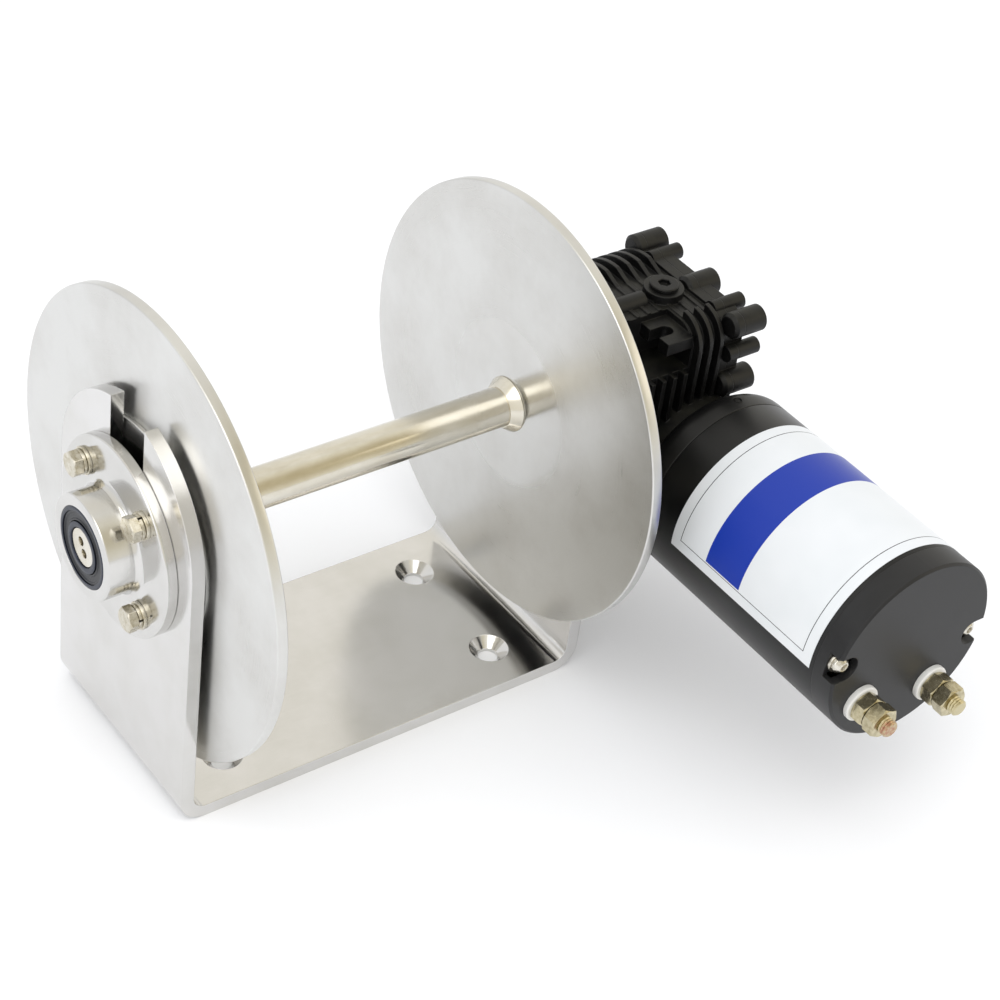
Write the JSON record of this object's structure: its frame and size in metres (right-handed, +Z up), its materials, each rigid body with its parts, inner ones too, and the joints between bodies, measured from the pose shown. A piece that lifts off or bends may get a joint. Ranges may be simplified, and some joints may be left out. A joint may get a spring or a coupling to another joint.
{
  "type": "deck capstan",
  "caption": "Electric drum winch for a deck: polished disc cheeks on a spindle in a folded steel bracket, turned through a finned worm gearbox by a forward-pointing motor.",
  "frame": {"origin": "centre of the deck-bolt pattern on the underside of the base", "axes": "+Z up, square to the base; +X along the drum axis towards the gearbox; -Y the side the motor points to"},
  "size_m": [0.3239, 0.3099, 0.2187],
  "materials": {
    "stainless_plate": "satin, fine brushed",
    "polished_cheek": "polished with faint round brushing",
    "polished_shaft": "turned and polished",
    "bearing_steel": "ground",
    "bright_fastener": "bright",
    "machine_steel": "machined",
    "gearbox_black": "black painted casting, satin",
    "motor_black": "black, satin",
    "bronze": "machined",
    "nylon_white": "moulded",
    "black_rubber": "moulded",
    "copper": "bare",
    "magnet_grey": "sintered",
    "brush_board": "laminate"
  },
  "bodies": {
    "frame": {"bracket": "stainless_plate", "bearing_outer_ring": "bearing_steel", "bearing_seals": "black_rubber", "bearing_housing": "stainless_plate", "housing_bolts": "bright_fastener", "housing_washers": "bright_fastener", "housing_spring_washers": "bright_fastener", "gearbox_housing": "gearbox_black", "gearbox_cover": "gearbox_black", "cover_screws": "machine_steel", "gearbox_screws": "bright_fastener", "filler_plug": "gearbox_black", "output_bush_inner": "bronze", "output_bush_outer": "bronze", "output_seal": "black_rubber", "motor_front_bell": "motor_black", "motor_tube": "motor_black", "motor_rear_cap": "motor_black", "through_bolts": "bright_fastener", "through_bolt_washers": "bright_fastener", "terminal_studs": "bright_fastener", "terminal_insulators": "nylon_white", "terminal_inner_nuts": "bright_fastener", "terminal_outer_nuts": "bright_fastener", "field_magnets": "magnet_grey", "brush_plate": "brush_board", "brushes": "magnet_grey", "brush_springs": "machine_steel", "motor_front_bush": "bronze", "motor_rear_bush": "bronze", "worm_rear_bush": "bronze"},
    "drum": {"left_cheek": "polished_cheek", "right_cheek": "polished_cheek", "left_hub_disc": "stainless_plate", "right_hub_disc": "stainless_plate", "left_collar": "polished_shaft", "right_collar": "polished_shaft", "spindle": "polished_shaft", "drive_key": "machine_steel", "spindle_end_washer": "bright_fastener", "spindle_end_screw": "bright_fastener", "bearing_inner_ring": "bearing_steel", "bearing_balls": "bearing_steel", "bearing_cage": "bearing_steel", "output_sleeve": "machine_steel", "worm_wheel": "bronze"},
    "rotor": {"armature_shaft": "machine_steel", "armature_core": "machine_steel", "armature_windings": "copper", "commutator": "copper", "worm": "machine_steel"}
  },
  "joints": [
    {"name": "drum_spin", "type": "hinge", "parent": "frame", "child": "drum", "pos_m": [0, 0, 0.1187], "axis": [1, 0, 0], "continuous": true},
    {"name": "rotor_spin", "type": "hinge", "parent": "frame", "child": "rotor", "pos_m": [0.1584, 0, 0.0937], "axis": [0, 1, 0], "continuous": true}
  ],
  "couplings": [
    {"joint": "rotor_spin", "follows": "drum_spin", "ratio": -30}
  ]
}
